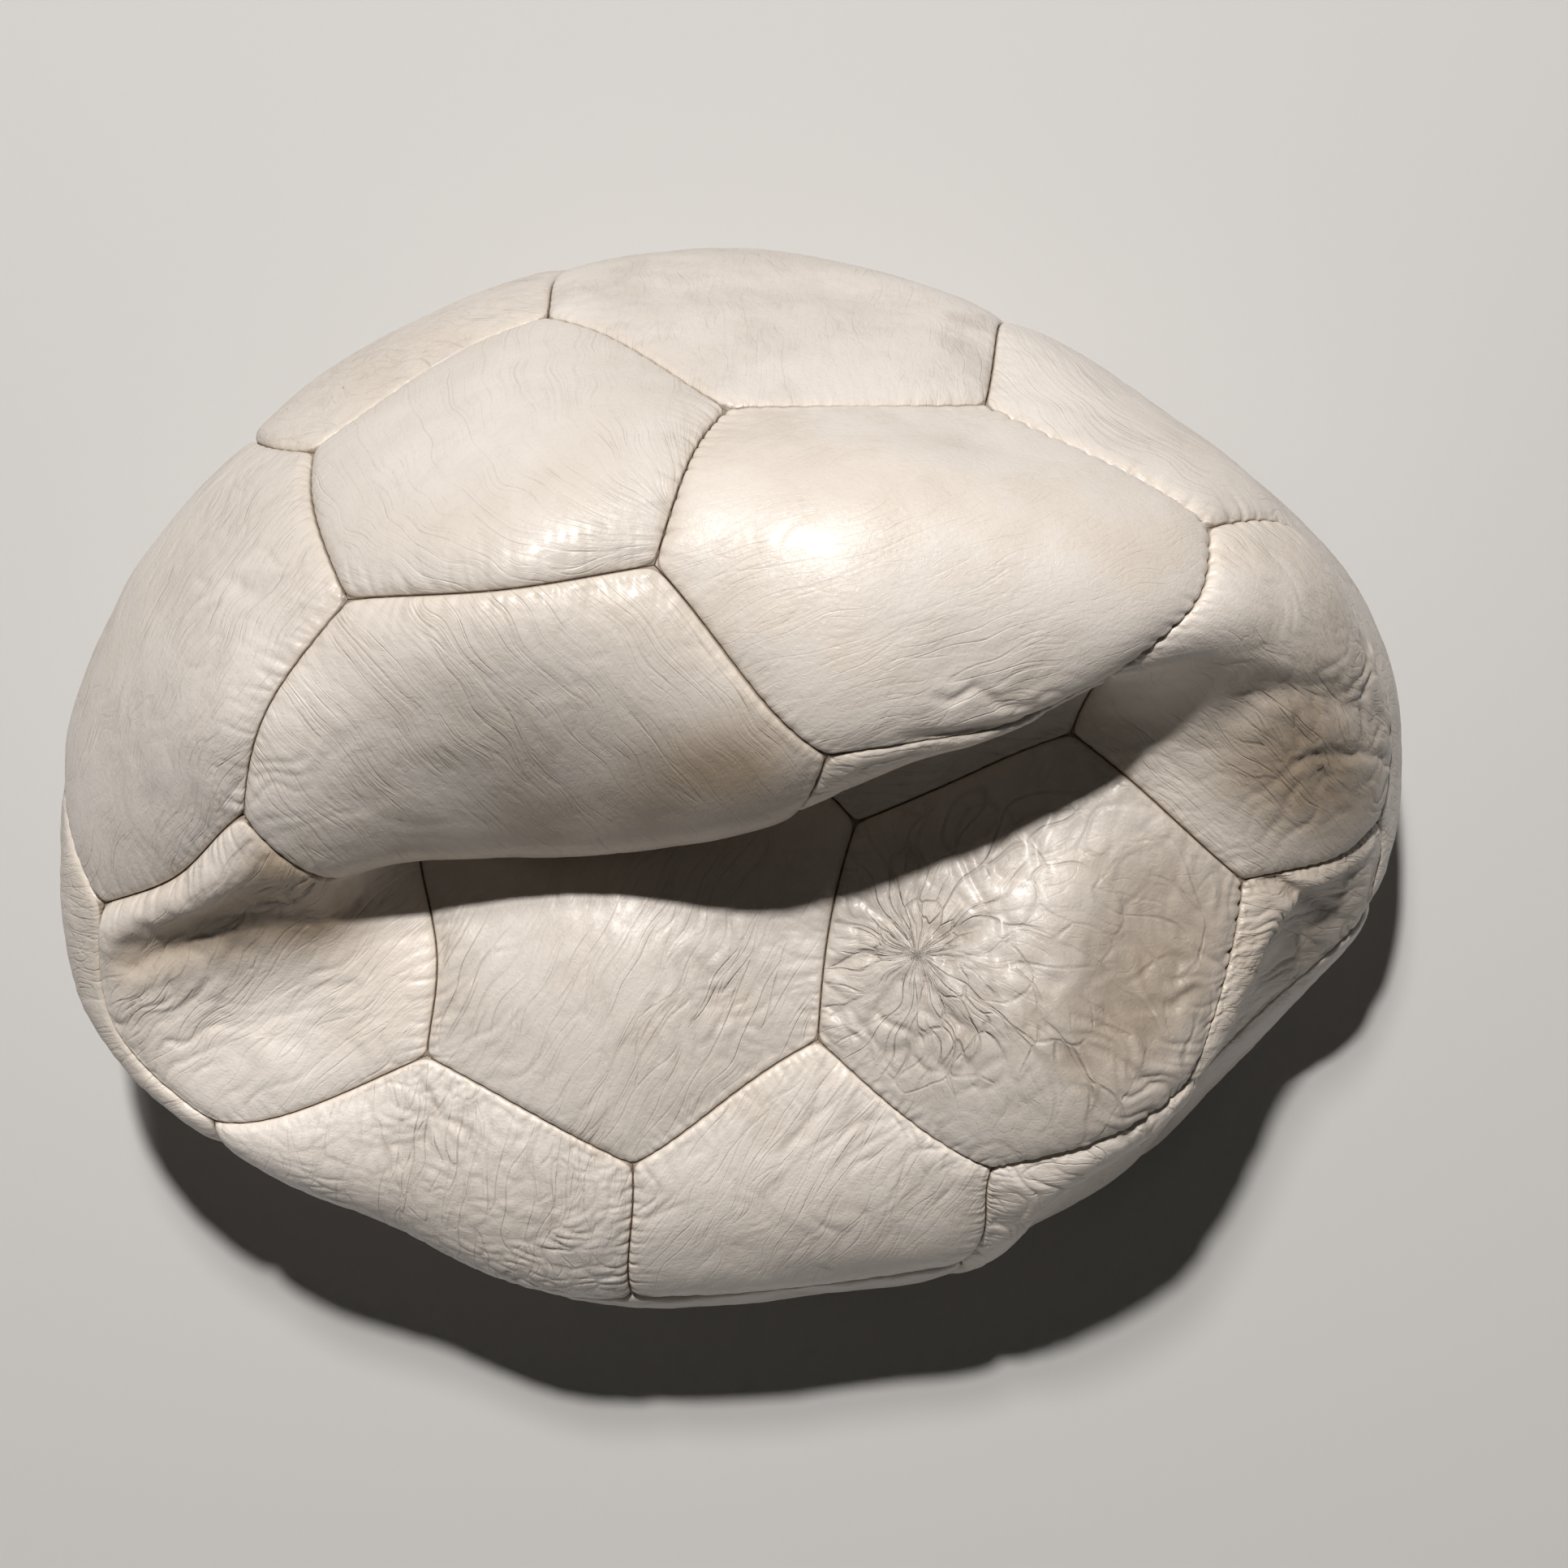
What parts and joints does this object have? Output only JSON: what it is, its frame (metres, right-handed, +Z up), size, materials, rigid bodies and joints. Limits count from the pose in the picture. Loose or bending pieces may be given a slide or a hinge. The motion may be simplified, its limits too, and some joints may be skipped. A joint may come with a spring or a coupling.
{
  "type": "deflated football",
  "caption": "Deflated white leather football of hand-stitched panels, crushed so that one side overhangs the other across a deep fold.",
  "frame": {"origin": "centre of the crushed ball's box, on the surface it lies on", "axes": "+Z up; +X along the fold; +Y from the lower side of the fold to the side that overhangs it"},
  "size_m": [0.2342, 0.1877, 0.136],
  "materials": {
    "leather": "aged off-white, soft sheen, finely wrinkled",
    "thread": "waxed, dark brown",
    "rubber": "matt black"
  },
  "bodies": {
    "root": {"pentagon_x": "leather", "pentagon_e": "leather", "pentagon_a": "leather", "pentagon_f": "leather", "pentagon_h": "leather", "pentagon_p": "leather", "pentagon_v": "leather", "pentagon_j": "leather", "pentagon_y": "leather", "pentagon_u": "leather", "pentagon_6": "leather", "pentagon_z": "leather", "hexagon_b": "leather", "hexagon_c": "leather", "hexagon_m": "leather", "hexagon_n": "leather", "hexagon_g": "leather", "hexagon_d": "leather", "hexagon_l": "leather", "hexagon_i": "leather", "hexagon_q": "leather", "hexagon_r": "leather", "hexagon_k": "leather", "hexagon_w": "leather", "hexagon_t": "leather", "hexagon_o": "leather", "hexagon_s": "leather", "hexagon_1": "leather", "hexagon_2": "leather", "hexagon_3": "leather", "hexagon_4": "leather", "hexagon_5": "leather", "stitching_thread": "thread", "bladder": "rubber", "valve": "rubber"}
  },
  "joints": []
}
